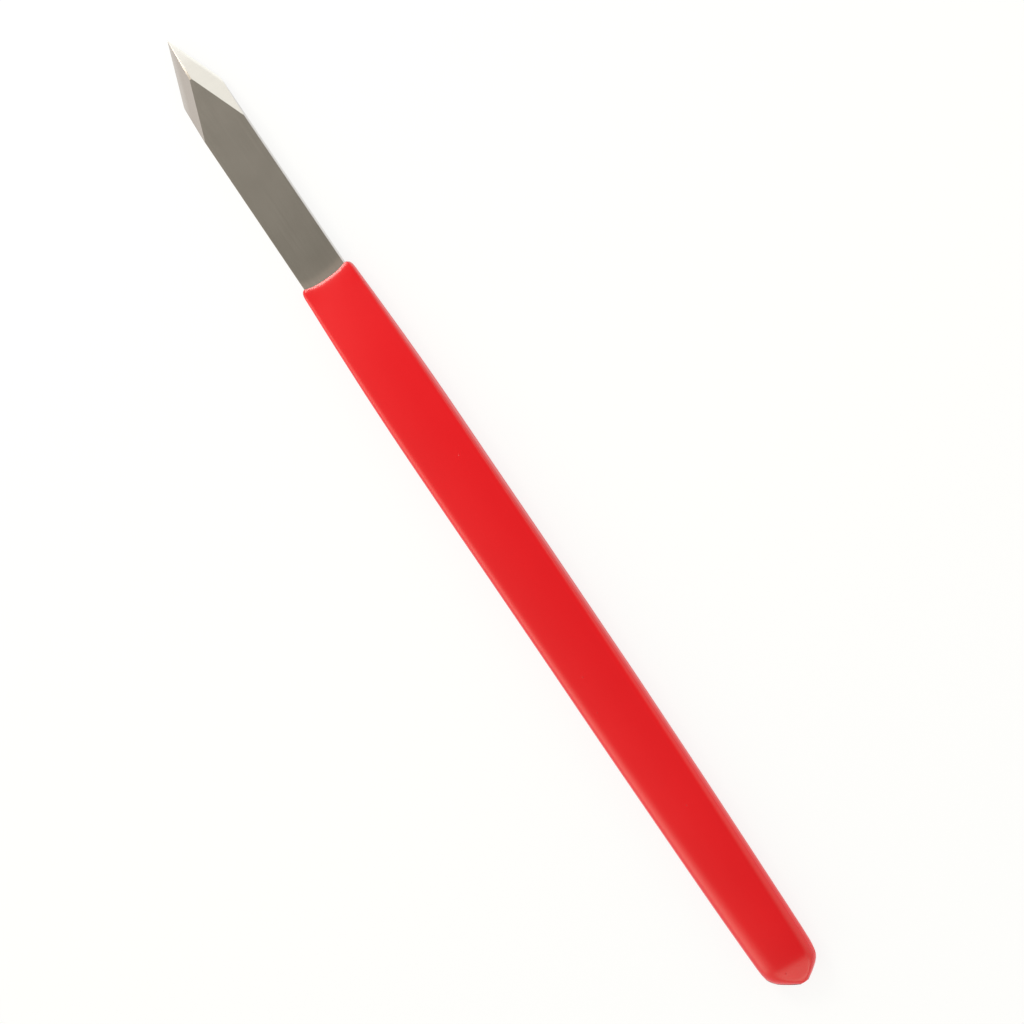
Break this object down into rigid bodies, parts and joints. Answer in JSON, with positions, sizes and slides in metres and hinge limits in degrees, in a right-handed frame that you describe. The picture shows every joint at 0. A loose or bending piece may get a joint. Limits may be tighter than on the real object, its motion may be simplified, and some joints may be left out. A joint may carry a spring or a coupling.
{
  "type": "deburring scraper",
  "caption": "Slim hand scraper for trimming burrs: flat steel bar ground to a spear point on its front face, with a thick red dipped grip on its tang.",
  "frame": {"origin": "under the middle of the tool's overall length, on the plane that the back of its grip rests on", "axes": "+X along the tool towards the point, +Z out of the ground front face, +Y to the left when looking along +X"},
  "size_m": [0.1882, 0.011, 0.0056],
  "materials": {
    "steel": "fine ground tool steel, warm grey, with bright facets at the point",
    "dip_coat": "glossy bright red dip-moulded soft PVC, smooth and slightly uneven"
  },
  "bodies": {
    "root": {"blade": "steel", "grip": "dip_coat"}
  },
  "joints": []
}
